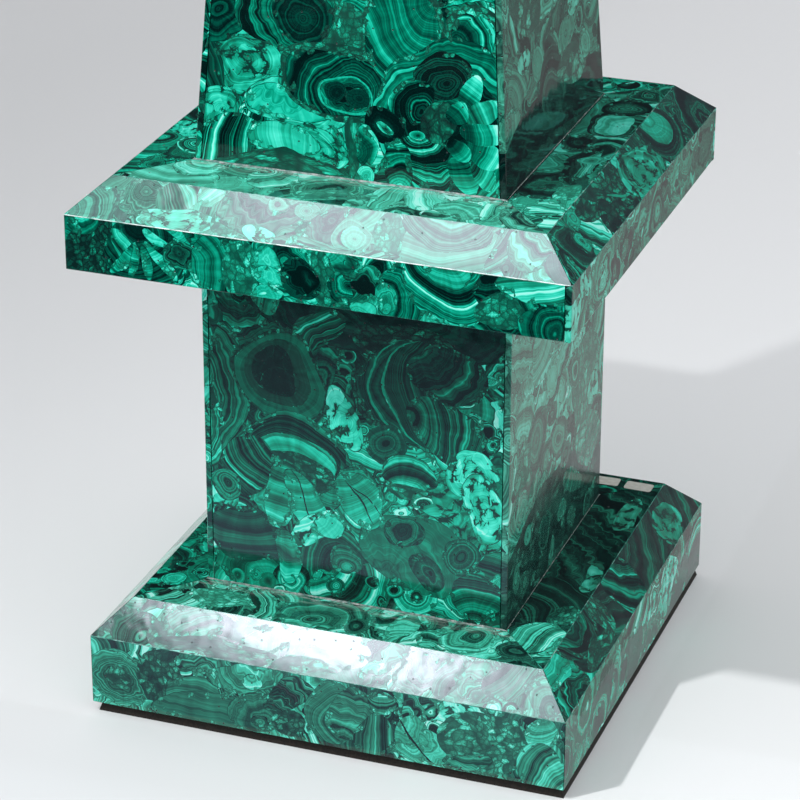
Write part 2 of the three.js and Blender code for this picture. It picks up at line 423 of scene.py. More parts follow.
mosaicGroup = makeMosaicGroup(stoneLook)
noduleGroup = makeNoduleGroup()
bandGroup = makeBandGroup(stoneLook)

# The greyish smear of filler and old polish that is left on a ledge along a column's foot.
residueLook = {
    "colour": (0.40, 0.38, 0.37),
    "reach": 10.0,  # mm from the column
    "most": 0.6,
    "streaks": (0.5, 0.09),  # per mm, across and along
    "dull": 0.5,
}


def addResidue(g, colour, roughness, column, look):
    middle, half = column
    place = g.new("TexCoord").outputs["Object"]
    away = g.vecCalc("ABSOLUTE", g.inMm(place, tuple(-1000 * part for part in middle)))
    x, y, _ = g.split(away)
    near = g.smoothStep(g.sub(g.calc("MAXIMUM", x, y), half * 1000), look["reach"], 0.0)
    across, along = look["streaks"]
    streaks = g.noise(g.mulV(away, (along, across, 0)), "2D", 3.0, 0.7)["Fac"]
    share = g.mul(g.mul(near, g.smoothStep(streaks, 0.38, 0.75)), look["most"])
    colour = g.mixColour(share, colour, (*look["colour"], 1))
    return colour, g.mulAdd(share, look["dull"], roughness)


def handOn(bent, giver):
    return {"Bent": bent, **{name: giver.outputs[name] for name in noduleSockets}}


def makeMalachite(name, look, shift=(0, 0), nodules=(), own=None, column=None):
    own = own or {}
    material, g = newMaterial(name)
    place = g.new("UVMap", uv_map="face").outputs[0]
    far = look["bend"][0]
    point = g.inMm(place, (shift[0] - far, shift[1] - far, 0))
    last = g.new("Group", node_tree=mosaicGroup)
    g.put(point, last.inputs["Point"])
    bent = last.outputs["Bent"]
    for row in nodules:
        values = nodule(*row)
        for socket in ("At", "Own heart"):
            x, y, turn = values[socket]
            values[socket] = (x + shift[0], y + shift[1], turn)
        placed = g.new("Group", node_tree=noduleGroup)
        for socket, value in {**handOn(bent, last), **values}.items():
            g.put(value, placed.inputs[socket])
        last = placed
    bands = g.new("Group", node_tree=bandGroup)
    for socket, value in handOn(bent, last).items():
        g.put(value, bands.inputs[socket])
    calm = own.get("calm", 0.0)
    lift = look["span"] * (own.get("bright", 0.0) + look["calmed"] * calm)
    tone = g.mulAdd(bands.outputs["Tone"], look["span"] * (1 - calm), lift)
    colour = g.ramp(tone, stoneColours)
    if "milk" in own:
        milk = g.mul(g.mul(tone, tone), own["milk"], clamp=True)
        colour = g.mixColour(milk, colour, (*look["milk"], 1))

    # Small dark pits, and the waves that the polishing leaves.
    spacing, radius, common, pitDepth, pitColour = look["pit"]
    pit = g.cells(g.scale(point, 1 / spacing))
    isThere = g.calc("LESS_THAN", g.split(pit["Color"])[0], common)
    pit = g.mul(g.smoothStep(pit["Distance"], radius, radius * 0.6), isThere)
    colour = g.mixColour(pit, colour, (*pitColour, 1))
    perMm, waveHeight = look["wave"]
    height = g.mul(g.noise(g.scale(point, perMm), "2D", 1.0)["Fac"], waveHeight)
    height = g.mulAdd(pit, -pitDepth, height)
    if "crown" in own:
        width, crown = own["crown"]
        across = g.mulAdd(g.split(place)[1], 2 * 1000 / width, -1.0)  # from -1 to 1 up the bevel
        height = g.mulAdd(g.mul(across, across), -crown, height)
    smooth, dull = look["roughness"]
    roughness = g.mulAdd(bands.outputs["Dull"], dull - smooth, smooth)
    if column:
        colour, roughness = addResidue(g, colour, roughness, column, residueLook)
    normal = g.bump(height, 0.001, 1.0)
    inputs = {"Base Color": colour, "Roughness": roughness, "IOR": look["ior"], "Normal": normal}
    g.finish("BsdfPrincipled", inputs)
    return material


# The facings: every strip and panel of stone, with its arrises rounded by the polishing.
allSides = ("front", "right", "back", "left")
facingLook = {
    "arris": 0.0005,
    "segments": 3,
    "patternStep": (173.0, 229.0),  # mm between one facing's pattern and the next one's
    # which upright ends of which facings are corners of the object, seen from outside
    "corners": {
        "pedestal_panel_right": ("first", "last"),
        "pedestal_panel_left": ("first", "last"),
        "shaft_panel_right": ("first", "last"),
        "shaft_panel_left": ("first", "last"),
        **{"slab_edge_" + side: ("first",) for side in allSides},
    },
    # how much brighter a facing is than the rest, how far its tones are drawn to the middle one, how much
    # milkier its bright stone is, and the width of a bevel and how far the polishing has left it higher along
    # its middle, in mm
    "own": {
        "slab_ledge_front": {"bright": 0.15, "calm": 0.1, "milk": 0.34},
        "base_ledge_front": {"bright": 0.12, "milk": 0.22},
        "shaft_panel_right": {"bright": -0.05, "calm": 0.3, "milk": 0.35},
        "pedestal_panel_right": {"bright": 0.02, "calm": 0.3, "milk": 0.35},
        "base_ledge_back": {"bright": -0.12, "calm": 0.3},
        "slab_ledge_right": {"bright": 0.08, "milk": 0.14},
        "base_ledge_right": {"bright": 0.03, "milk": 0.15},
        "base_bevel_right": {"bright": 0.05},
        "slab_edge_right": {"calm": 0.25, "milk": 0.2},
        "slab_edge_front": {"bright": 0.06},
        "base_edge_front": {"bright": 0.05, "milk": 0.2},
        "slab_bevel_front": {"bright": 0.02, "calm": 0.2, "milk": 0.4, "crown": (24, 0.2)},
        "base_bevel_front": {"bright": -0.06, "calm": 0.15, "milk": 0.4, "crown": (24, 0.12)},
    },
}
outward = {
    "front": (0, -1, 0), "right": (1, 0, 0), "back": (0, 1, 0), "left": (-1, 0, 0),
    "ledge": (0, 0, 1), "soffit": (0, 0, -1),
}
same = 1e-6  # points closer than this, in metres, are one


# A node's solid, with its flat faces whole.
def openSolid(node):
    bm = bmesh.new()
    bm.from_mesh(frame["nodes"][node].data)
    bmesh.ops.remove_doubles(bm, verts=bm.verts, dist=same)
    bmesh.ops.dissolve_limit(bm, angle_limit=0.01, verts=bm.verts, edges=bm.edges)
    bm.normal_update()
    return bm


def outerFace(bm, kind, side):
    way = Vector(outward.get(kind, outward[side]))
    return max(bm.faces, key=lambda face: face.calc_area() * face.normal.dot(way))


def flatAxes(normal):
    if abs(normal.z) > 0.95:
        across = Vector((1, 0, 0))
    else:
        across = Vector((0, 0, 1)).cross(normal).normalized()
    return across, normal.cross(across)


def unwrapFlat(bm, origin, shift):
    layer = bm.loops.layers.uv.new("face")
    for face in bm.faces:
        across, along = flatAxes(face.normal)
        for loop in face.loops:
            reach = loop.vert.co - origin
            loop[layer].uv = (reach.dot(across) + shift[0] / 1000, reach.dot(along) + shift[1] / 1000)


def roundEdges(bm, edges, offset, segments):
    bmesh.ops.bevel(
        bm, geom=edges, offset=offset, offset_type="OFFSET", affect="EDGES", segments=segments, profile=0.5,
        material=-1, clamp_overlap=True,
    )


def addMesh(bm, name, material):
    mesh = bpy.data.meshes.new(name)
    bm.to_mesh(mesh)
    bm.free()
    mesh.materials.append(material)
    thing = bpy.data.objects.new(name, mesh)
    bpy.context.scene.collection.objects.link(thing)
    return thing


def finishPiece(bm, name, material, replaced=None):
    piece = addMesh(bm, name, material)
    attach(piece, "root")
    if replaced:
        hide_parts(replaced)


def makeFacing(node, material, shift, look):
    bm = openSolid(node)
    if node == "pyramidion":
        origin = Vector((0, 0, min(v.co.z for v in bm.verts)))
        arrises = list(bm.edges)
    else:
        _, kind, side = node.split("_")
        outer = outerFace(bm, kind, side)
        across, along = flatAxes(outer.normal)
        left, low = [min(v.co.dot(axis) for v in outer.verts) for axis in (across, along)]
        origin = across * left + along * low + outer.normal * outer.verts[0].co.dot(outer.normal)
        corners = look["corners"].get(node, ())
        middle = outer.calc_center_median().dot(across)
        foot = min(v.co.z for v in outer.verts)
        arrises = []
        for edge in outer.edges:
            ends = [v.co for v in edge.verts]
            isUpright = abs((ends[0] - ends[1]).normalized().z) > 0.9
            end = "first" if ends[0].dot(across) < middle else "last"
            isLow = max(ends[0].z, ends[1].z) < foot + 10 * same
            if (isUpright and end in corners) or (kind == "edge" and isLow):
                arrises.append(edge)
    unwrapFlat(bm, origin, shift)
    if arrises:
        roundEdges(bm, arrises, look["arris"], look["segments"])
    finishPiece(bm, node + "_stone", material, replaced=node)


# The nodules that are listed one by one, from the undermost to the uppermost: what nodule() takes, in its
# order.
placedNodules = {
    "pedestal_panel_front": [
        # the dark ground along the top, darkened further as painted shade under the slab, and the greyish
        # stone lower down
        (95, 165, 75, 25, -0.3, 0.25, 3), (100, 150, 26, 10, -0.25, crumbs), (25, 178, 16, 12, -0.1, 0.3, 6),
        (30, 168, 8, 14, 0.1, 0.5, 7, 1, 15, (10, 170)), (58, 150, 16, 9, -0.12, 0.8, 9, 1.2, 40, (90, 110)),
        (17, 32, 18, 18, -0.16, 0.3, 8, 1.4, 5, (15, 75), 0.1),
        (108, 36, 30, 20, 0.04, 0.2, 5, 1, -6, (90, 20), 0.8),
        (10, 110, 9, 40, -0.05, 0.8, 4, 1, 3, (-30, 110)),
        # the large eye, with its dark lumpy core
        (37, 122, 24, 26, -0.15, crumbs, 1, 1, 18),
        (37, 121, 22.5, 24.5, 0, 0.22, 10, 1, 18, None, 0.1, -0.04, 1),
        (36, 123, 17, 19, -0.14, 0.12, 11, 1, 18, None, 0.5, 0, 1),
        (34, 125, 12, 13, -0.32, 0.12, 12, 1, 10, None, 0.9, 0, 1),
        (37, 118, 9, 8, -0.32, 0.12, 12, 1, 10, None, 0.9, 0, 1),
        # the crescent under it
        (45, 83, 27, 19.5, 0, 0.5, 16, 1.3, 9, (45, 66), 0),
        (45, 80, 24.5, 17.5, -0.28, 0.55, 17, 1.5, 9, (45, 64), 0, 0, 1),
        (45, 77, 22.5, 13, 0.1, 0.6, 14, 1, 10, (45, 62), 0.1, 0, 1),
        (45, 75, 21.5, 13, 0.36, 0.3, 17, 1, 10, (45, 62), 0.1, 0, 1),
        (45, 69.5, 21, 11.5, -0.05, crumbs, 1, 1, 8, None, 0.45, 0, 1),
        # fans
        (95, 123, 19, 22, -0.2, crumbs, 1, 1, 4),
        (96, 124, 16.5, 21, -0.15, 0.4, 18, 1.9, 4, (140, 130), 0.15),
        (102, 124, 17, 28, 0.16, 0.1, 19, 1, 3, None, 0.45, 0, 1),
        (103.2, 124, 17, 28, -0.18, 0.25, 18, 1.9, 3, None, 0.45, 0, 1),
        (109, 124, 17, 28, 0.16, 0.1, 19, 1, 3, None, 0.45, 0, 1),
        (110.4, 124, 17, 28, -0.22, 0.4, 21, 1.9, 3, (150, 128), 0.3, 0, 1),
        (126, 136, 20, 16, -0.24, 0.45, 24, 1.3, 0, (108, 148), 0.7),
        (124, 106, 22, 14, -0.08, 0.6, 20, 1.6, -20, (104, 108), 0.3),
        (92, 94, 10, 9, -0.34, 0.4, 28, 1, 0, None, 0.1, 0.25),
        (104, 81, 13, 9.5, 0, 0.55, 30, 1.5, 0, (104, 70), 0.1), (104, 72, 10, 4.5, 0.15, crumbs),
        (20, 70, 15, 15, -0.12, 0.8, 32, 1.3, -45, (44, 92), 0), (8, 60, 8, 8, -0.08, 0.9, 34),
        (37, 57, 8.5, 18, 0.12, 0.35, 36, 1.5, -8, (44, 86), 0.3, 0.08),
        (49, 54, 9.5, 19, 0.22, 0.3, 37, 1.5, 30, (38, 86), 0.3, 0.08),
        (46, 57, 0.4, 15, -0.3, 0.1, 1, 1, 19, None, 0.45, 0, 1),
        (55, 42, 16, 7.5, 0.22, broken, 1, 0.8, 35, (40, 60)),
        (61, 43, 10, 7, 0.38, 0.2, 40, 1, 25, (44, 54)),
        (80, 62, 12, 18, 0.2, 0.3, 38, 1.5, 36, (66, 84), 0.2, 0.1),
        (80, 61, 0.5, 15, -0.3, 0.1, 1, 1, 36, None, 0.45, 0, 1),
        (84, 62, 0.4, 13, -0.3, 0.1, 1, 1, 52, None, 0.45, 0, 1),
        (40, 24, 7, 15, 0.16, 0.4, 42, 1, 8, (38, 44), 0.6, 0.1),
        # the bright broken stone
        (71, 106, 8, 19, 0.06, broken, 1, 1.3, 24), (137, 86, 16, 13, 0.06, broken, 1, 1, 15),
        (142, 68, 11, 19, 0.06, broken, 1, 1.2, 14),
        # round ones along the foot
        (103, 46, 9, 8.5, -0.32, 0.5, 44, 1.3, 30, None, 0.8, 0.2),
        (113, 27, 10, 8, -0.32, 0.5, 48, 1.3, -20, None, 0.9, 0.16),
        (132, 41, 11, 9.5, -0.06, 0.4, 50, 1.5, 0, None, 0.1),
        (70, 27, 9, 9, 0.1, 0.5, 52, 1, 0, (70, 23), 0.1, -0.1),
        (97, 14, 5, 4.6, -0.05, 1, 54, 1.6, 0, None, 0.1), (84, 16, 4, 4, 0.05, 1, 56, 1.6, 0, None, 0.1),
        (67, 10, 4, 4.5, 0.15, 0.9, 58, 1.6, 0, None, 0.1),
        (109, 13, 3.8, 3.8, 0, 1.1, 60, 1.6, 0, None, 0.1),
        (90, 7, 3.4, 3.4, 0.05, 1.1, 62, 1.6, 0, None, 0.1),
        (141, 20, 14, 13, -0.08, 0.6, 64, 1.4, 0, (138, 4), 0.3),
    ],
    "shaft_panel_front": [
        # crumbs and broken stone on the left
        (68, 74, 15, 15, 0.12, crumbs), (22, 54, 24, 16, -0.1, broken, 1, 1.7, -8),
        (3, 52, 7, 30, -0.15, 0.6, 4, 1, 4, (60, 60)), (10, 78, 18, 16, -0.28, 0.5, 9),
        (8, 32, 12, 12, -0.05, broken, 1, 1.6), (14, 14, 22, 17, -0.04, 1, 14, 1.4, 10, (60, 8), 1),
        (50, 37, 28, 11, 0, broken, 1, 1.9, -3), (46, 37, 23, 8, 0.32, 0.25, 13, 0.8, -3, (46, 60), 1),
        (50, 17, 24, 11, 0, broken, 1, 1.9), (42, 18, 16, 8.5, 0.3, 0.3, 12, 0.8, 0, (90, 18), 1),
        (40, 6, 34, 5, 0, crumbs), (78, 18, 5, 22, 0.15, crumbs, 1, 1, 3),
        # the dark eye at the upper left, in bright bands
        (42, 82, 24, 20, -0.22, 0.95, 10, 0.9, 0, (50, 80), 0.45, 0.22),
        (50, 80, 15, 13, -0.34, 0.5, 10, 0.9, 0, (49, 79), 0.45, 0.12),
        # the long dark eye in the middle
        (70, 50, 31, 19, 0, crumbs, 1, 1, -12),
        (70, 49, 28, 16, -0.2, 0.8, 16, 1.1, -12, (77, 42), 0.45, 0.04),
        (75, 42, 14.5, 9, 0.3, 0.1, 17, 1, -8, None, 0.9, 0, 1),
        (75, 42, 13.5, 8.1, -0.14, 0.7, 17, 1.6, -8, None, 0.9, 0, 1),
        (68, 44, 4.6, 4.6, -0.34, 0.3, 18, 1, 0, None, 0.45, 0, 1),
        (80, 41, 7.5, 5, -0.34, 0.3, 19, 1, 0, None, 0.45, 0, 1),
        # the large fan above it
        (102, 77, 22, 26, 0, crumbs, 1, 1, 8), (101, 76, 20, 24, 0.04, 0.4, 22, 2, 8, (118, 96), 0.3),
        (138, 80, 14, 12, 0, crumbs), (136, 78, 11, 9, 0, 0.7, 26, 0.9, 50, (130, 76), 0.45, 0.24),
        # the flower on the right: its ringed outer band, the dark petals and the bright ones
        (125, 34, 36, 44, -0.08, 0.6, 32, 1.2, 0, (125, 33), 0.45, 0.12),
        (127, 34, 25, 30, -0.32, 0.5, 33, 1.2),
        (121, 60, 13, 13, -0.34, 0.7, 34, 1.3, 0, (121, 55), 0.45, 0.16),
        (108, 45, 11, 10, -0.28, 0.8, 36, 1.3, 30, (113, 41), 0.45, 0.2),
        (94, 32, 10, 8.5, -0.34, 0.4, 38, 1, 0, None, 0.45, 0.06),
        (113, 16, 17, 14, -0.12, 1.2, 44, 1.3, -8, (110, 30)),
        (99, 11, 7, 15, -0.05, 1, 46, 1.2, 0, (99, 0), 0.45, 0.12),
        (121, 36, 8, 11, -0.12, crumbs, 1, 0.6, -20),
        (131, 13, 9, 6.5, 0.02, 0.6, 48, 1.4, -58, (124, 33), 0.2, 0.2, 1),
        (142, 14, 9, 5.5, 0.1, 0.5, 49, 1.4, -44, (124, 33), 0.2, 0.2, 1),
        (135, 53, 6, 10, 0.22, 0.4, 50, 1.3, -14, (126, 30), 0.2, 0.25, 1),
        (142, 44, 10, 5.5, 0.2, 0.4, 52, 1.3, 26, (122, 34), 0.2, 0.25, 1),
        (142, 23, 11, 6, 0.2, 0.4, 56, 1.3, -26, (122, 31), 0.2, 0.25, 1),
        (142.5, 33.5, 12, 6.2, 0.24, 0.35, 54, 1.3, -2, (122, 32), 0.2, 0.25, 1),
        (130, 42, 5, 6, 0, 0.4, 53, 1, -30, (122, 34), 0.2, 0.3, 1),
        (130, 24, 6, 4.6, 0.02, 0.4, 57, 1, -40, (122, 32), 0.2, 0.3, 1),
        (84, 22, 6, 9, 0.12, 0.5, 58, 1, -10, (78, 20), 0.45, 0.1), (82, 8, 4.5, 6, 0.25, 0.5, 60),
        (110, 29, 4.4, 2.8, -0.3, 0.2, 62, 1, -6, None, 0.45, 0.75, 1),
        (94.5, 31.5, 4, 2.4, -0.3, 0.3, 64, 1, -20, None, 0.45, 0.75),
    ],
    "slab_edge_front": [
        (13.4, 12, 16, 18, -0.35, crumbs), (7.4, 25, 9, 5, -0.05, 0.7, 2, 1, 0, (7.4, 30)),
        # the fan and its petals
        (41.4, 12, 21, 18, -0.26, 0.5, 3, 1.3, 0, (38.4, 26)),
        (30.4, 16, 9, 5, 0.16, 0.5, 4, 1.4, -55, (38.4, 26)),
        (31.4, 10, 3, 11, 0.12, 0.5, 5, 1.4, -37, (38.4, 26)),
        (36.4, 9, 2.4, 10, 0.1, 0.5, 6, 1.4, -10, (38.4, 26)),
        (43.4, 9, 2.6, 10, 0.12, 0.5, 7, 1.4, 14, (38.4, 26)),
        (50.4, 10, 2.4, 13, 0.16, 0.5, 8, 1.4, 38, (38.4, 26)),
        (47.4, 22, 7, 2.6, 0.26, 0.4, 9, 1, -30, (43.4, 10)),
        (59.4, 14, 9, 8, -0.26, 0.6, 10, 1.2, 0, None, 0.7, 0.12),
        (74.4, 13, 9, 17, 0.02, 0.45, 11, 1.5, 0, (53.4, 8), 0.25), (90.4, 13, 10, 16, 0.1, crumbs),
        (104.4, 22, 7.5, 6, 0.24, 0.4, 13, 1, 0, None, 0.7),
        (105.4, 13, 8.5, 5.5, 0.28, 0.4, 14, 1, 0, None, 0.7),
        (104.4, 3, 8.5, 5.5, 0.24, 0.4, 15, 1, 0, None, 0.7), (131.4, 14, 8, 15, 0.05, crumbs),
        (120.4, 13, 9.5, 12, -0.34, 0.5, 17, 1, 10, (122.4, 14), 0.9, 0.06),
        (140.4, 12, 6.5, 9, -0.3, 0.7, 18, 1, -25, (143.4, 14), 0.5, 0.2),
        (152.4, 18, 9, 8.5, -0.2, 0.8, 19, 1, -30, (149.4, 13), 0.9, 0.35),
        (150.4, 3, 6.5, 4, 0.15, 0.5, 20, 1, 0, (149.4, -2), 0.7),
        (170.4, 10, 15, 14, -0.02, 0.9, 21, 1.25, -15, (161.4, 8), 0.6),
        (162.4, 9, 6.5, 7.5, 0.2, 0.5, 22, 1, 0, (161.4, 4), 0.9),
        # the large arcs, cut off by a joint of crumbs on their right
        (193.4, 20, 20, 20, -0.04, 0.9, 23, 1.2, 0, (193.4, 31), 0.2, 0.1),
        (193.4, 25, 9, 8, 0.06, 0.5, 24, 1.2, 0, (193.4, 33)),
        (211.4, 20, 8, 9, -0.26, 0.7, 25, 1, 0, (211.4, 30), 0.45, 0.1), (216.4, 9, 13, 8, 0.05, crumbs),
        (237.4, 22, 24, 8, 0.14, 0.7, 26, 1.1, 0, (208.4, 90), 0.1),
        (239.4, 4, 15, 9, -0.16, 0.6, 31, 1.5, 0, (243.4, 3), 0.6, 0.06),
    ],
    "base_edge_front": [
        (15.2, 16, 15, 18, -0.12, 0.7, 2, 1.2, 0, (15.2, 15), 0.7, 0.12), (15.2, 16, 6, 7, -0.1, crumbs),
        (37.2, 22, 13, 17, -0.2, crumbs), (31.2, 5, 4.5, 4.5, -0.1, 0.5, 4, 1, 20, (33.2, 3), 0.45, 0.4),
        (54.2, 17, 15, 8, 0, 0.3, 6, 1.5, 12, (53.2, -30), 0.2),
        (69.2, 9, 38, 10, -0.06, 0.2, 8, 1.5, 4, (63.2, 120)),
        (90.2, 12, 17, 12, -0.08, 0.35, 10, 1.7, 10, (93.2, 7), 0.8),
        (91.2, 7, 5.5, 4.5, -0.12, 0.8, 11, 1.6, 0, None, 0.7),
        (63.2, 33, 15, 7, 0, 0.7, 12, 1.4, -10, (59.2, 22), 0.9),
        (83.2, 29, 22, 6, 0.1, 0.7, 14, 1.4, 12, (87.2, 42), 0.9),
        (87.2, 28, 5, 3.5, 0.25, 0.5, 15, 1, 0, (87.2, 31)),
        (106.2, 24, 14, 8, -0.26, 0.9, 16, 1.3, 35, (96, 10), 0.9), (107.2, 7, 10, 8, -0.2, crumbs),
        (129.2, 20, 14, 19, -0.06, 0.4, 18, 1.7, 0, (139.2, 16), 1),
        (139.2, 22, 12, 16, -0.06, 0.5, 19, 1.6, -15, (135.2, 4), 0.9),
        (151.2, 11, 10.5, 15, -0.08, 0.5, 20, 1.6, 0, (263.2, 12), 0.1),
        (155.2, 30, 8, 6, -0.05, 0.9, 22, 1.3, 0, (155.2, 36), 0.45, 0.25),
        (173.2, 15, 11, 13, 0.14, 0.4, 24, 1.3, -30, (167.2, 24), 0.8),
        (185.2, 12, 8.5, 11, 0.16, 0.4, 25, 1.3, 20, (177.2, 16), 0.8),
        (170.2, 5, 9, 6, 0.14, 0.4, 26, 1.3, 0, (173.2, 12), 0.8), (172.2, 14, 0.8, 12, -0.6, 0.1, 1, 1, 36),
        (211.2, 19, 23, 18, 0.05, crumbs), (201.2, 7, 12, 5, -0.02, 0.6, 27, 1.5, 8, (203.2, 30), 0.8),
        (239.2, 27, 8.5, 9.5, 0.18, 0.5, 28, 1.4, 0, (237.2, 37)),
        (239.2, 8, 13, 14, 0.06, 0.6, 30, 1.3, 35, (265.2, -10), 0.2),
    ],
    "slab_bevel_front": [
        (14, 8, 15, 10, 0.04, 0.6, 1, 1.2, 0, (4, 2), 0.5), (27, 7, 3.5, 9, -0.1, crumbs, 1, 1, 38),
        (35, 15, 12, 11, -0.02, 0.7, 2, 1.2, 0, (38, 18), 0.7),
        (52, 18, 9, 9, 0, 0.9, 4, 1.2, 20, (-30, -30), 0, 0, 1),
        (67, 20, 8, 6, 0.35, 0.6, 6, 1, 0, (80, 0), 0.2), (58, 5, 19, 7, 0.06, broken, 1, 1.5),
        (82, 8, 10, 10, 0.1, crumbs), (98, 14, 25, 13, -0.14, 0.6, 8, 1.1, 0, (100, 32), 0.9),
        (104, 17, 5, 5, -0.15, 0.6, 9, 1, 0, None, 0.45, 0.2),
        (117, 18, 6.5, 5.5, -0.15, 0.6, 10, 1, 0, None, 0.45, 0.25), (101, 4, 10, 4, 0.15, broken, 1, 1.3),
        (130, 12, 9, 10, -0.18, 0.5, 11, 1, 0, (132, 16), 0.9),
        (142, 10, 8.5, 8.5, -0.08, 0.7, 13, 1, 0, None, 0.3, 0, 1),
        (143, 10, 5, 5.5, 0.16, 0.5, 12, 1, 0, None, 0.4, -0.06, 1), (159, 12, 8, 14, 0.1, crumbs),
        (132, 2, 34, 2.6, 0.04, 0.9, 15, 1, 0, (130, 80)),
        (190, 9, 25, 17, 0.08, 0.35, 14, 1.5, 5, (178, 50), 0, 0, 1),
        (186, 20, 21, 11, -0.16, 0.8, 17, 1.1, 0, (186, 34), 1, 0, 1),
        (214, 14, 6, 15, -0.04, 0.6, 18, 1.3, -25, (178, 50), 0.1),
        (227, 13, 12, 9, -0.05, 0.7, 19, 1.2, -20, (236, 26), 0.8),
        (243, 6, 8, 8, -0.3, 0.4, 20, 1, 0, (250, 10), 0.45, 0, 1),
    ],
    "base_bevel_front": [
        (20, 9, 15, 11, -0.1, 0.7, 2, 1.3, 0, (26, 6), 0.5), (37, 8, 8, 8, 0.05, crumbs),
        (52, 17, 14, 9, 0.1, 0.5, 4, 1.3, 0, (62, 2)), (66, 4, 34, 5.5, -0.1, crumbs, 1, 1, 3),
        (122, 13, 24, 12, 0.05, 0.5, 6, 1.3, 0, (128, 0)), (112, 3, 14, 4, 0.05, crumbs),
        (170, 12, 11, 10, -0.02, 0.6, 7, 1.3, 0, (176, 20), 0.7),
        (185, 11, 7, 10, -0.05, 0.8, 8, 1.2, 0, (192, 6)), (203, 7, 9, 7, 0, 0.8, 10, 1.2, 0, (203, 4), 0.7),
        (219, 16, 16, 10, -0.06, 0.6, 12, 1.4, 30, (170, 60), 0.1),
        (238, 8, 9, 8, 0.1, 0.7, 14, 1, 0, (241, 3)),
    ],
    "slab_ledge_front": [
        (22, 12, 26, 14, 0.15, 0.4, 2, 1, 0, (20, 50)), (34, 24, 14, 10, 0.1, 0.7, 4, 1, 0, (34, 34)),
        (72, 20, 13, 14, 0.15, 0.9, 6, 1, 0, (64, 26)), (102, 16, 18, 14, -0.12, 0.8, 8),
        (104, 10, 14, 6, 0, crumbs), (131, 18, 8, 16, 0.15, 0.8, 10, 1, -6, (180, 10)),
        (148, 20, 10, 14, 0.2, 0.7, 12, 1, 20, (190, 40)), (168, 13, 13, 10, 0.05, 0.6, 14, 1, -10, (166, 2)),
        (183, 18, 5, 14, 0.1, 0.9, 16, 1, 0, (120, 18)), (200, 14, 12, 12, -0.1, 0.8, 18, 1, -40, (204, 20)),
    ],
    "base_ledge_front": [
        (12, 22, 14, 10, 0.1, 0.9, 2, 1, 0, (10, 14)), (42, 12, 16, 9, 0.15, crumbs),
        (64, 14, 9, 15, 0.05, 1, 4, 1, 20, (40, 6)), (96, 16, 25, 13, -0.08, 0.45, 6, 1.3, 0, (92, 8)),
        (115, 10, 7, 8, -0.12, 0.6, 8, 1.3), (137, 17, 8, 13, 0.16, 0.6, 10, 1, 0, (142, 2)),
        (154, 10, 7, 9, -0.02, 0.8, 12, 1, 0, (156, 0)), (171, 14, 13, 12, 0.02, 0.9, 14, 1, 0, (171, 18)),
        (198, 12, 11, 9, -0.22, 0.5, 16, 1, -30),
    ],
    "shaft_panel_right": [
        # a broad dark nodule along the foot: darker stone and painted shade, where the ledge shades it
        (80, 10, 100, 26, -0.5, 0.7, 1, 1.2, 0, (60, -60), 0.8, 0, 1),
        (24, 54, 13, 16, 0.14, 0.5, 2, 1.4, -20, (8, 36), 0.3), (32, 63, 11, 6, 0.2, broken, 1, 0.9, 8),
        (54, 52, 10, 9, 0.35, 0.4, 3), (76, 36, 22, 18, -0.26, 0.6, 4, 1.3, 0, (76, 26), 0.2, 0, 1),
        (101, 52, 16, 8, 0.2, 0.4, 5), (72, 78, 14, 7, 0.35, 0.5, 6, 1, -12),
        (112, 66, 9, 9, 0.1, broken, 1, 1.4), (40, 84, 26, 10, 0.1, crumbs, 1, 0.5, -16),
        (106, 36, 24, 9, 0.1, crumbs, 1, 0.5, -12), (130, 40, 9, 7, 0.25, 0.5, 7),
    ],
    "pedestal_panel_right": [
        # painted shade: a broad dark nodule darkens the foot, where the ledge shades it
        (80, 4, 110, 52, -0.45, crumbs, 1, 0.5, 0, None, 0.45, 0, 1),
        (35, 40, 8, 5, 0.05, 0.6, 2, 1, -20, None, 0.45, -0.2), (14, 22, 6, 8, 0.02, 0.5, 3, 1, 0, None, 1),
        (28, 14, 8, 6, -0.1, 0.6, 3, 1, 0, None, 1), (60, 30, 11, 9, -0.35, 0.7, 4, 1.4, 0, None, 0.6),
        (76, 12, 5, 7, 0.08, 0.5, 4), (106, 14, 7, 6, 0.05, 0.5, 5, 1, 0, None, 0.45, -0.15),
        (92, 24, 7, 6, 0.06, 0.5, 5), (137, 12, 8, 6, -0.1, 0.5, 6),
        (50, 132, 17, 17, 0.25, 0.5, 7, 1.3, 0, (44, 150), 0.2),
        (16, 143, 22, 10, 0.2, 0.6, 8, 1, -20, (0, 60)), (25, 109, 15, 12, 0.25, 0.5, 9, 1, 0, (20, 90)),
        (66, 111, 9, 11, 0.3, 0.3, 10), (44, 88, 18, 18, -0.1, 0.6, 11, 1.3, 0, None, 0.1),
        (87, 98, 10, 9, 0.2, 0.5, 12, 1, 0, (80, 94)), (80, 72, 14, 12, -0.05, 0.6, 13),
        (126, 86, 24, 26, 0.15, crumbs, 1, 0.45), (134, 50, 22, 14, 0.2, crumbs, 1, 0.45, -30),
        (108, 96, 9, 12, -0.1, 0.8, 15, 1.3, 20), (140, 74, 9, 8, 0.1, broken),
        (92, 56, 9, 7, -0.05, 0.7, 16, 1.4), (22, 82, 15, 11, 0.15, crumbs, 1, 0.5, 30),
        (108, 36, 18, 7, 0, 0.3, 17, 1, -25, (60, 60)), (126, 142, 26, 12, 0.1, 0.4, 14, 1, 0, (126, 60)),
    ],
    "slab_ledge_right": [
        (10, 10, 13, 13, -0.02, 0.6, 1, 1, 0, (30, 0)), (20, 26, 9, 10, 0.22, 0.9, 2, 0.9, 20, (24, 60)),
        (8, 34, 7, 9, 0.2, 0.4, 3), (12, 58, 18, 19, -0.24, 0.5, 4, 1, 0, None, 0.9),
        (24, 52, 6, 12, 0.2, crumbs), (4, 88, 9, 15, 0.16, 0.35, 5, 1, 0, (-4, 88)),
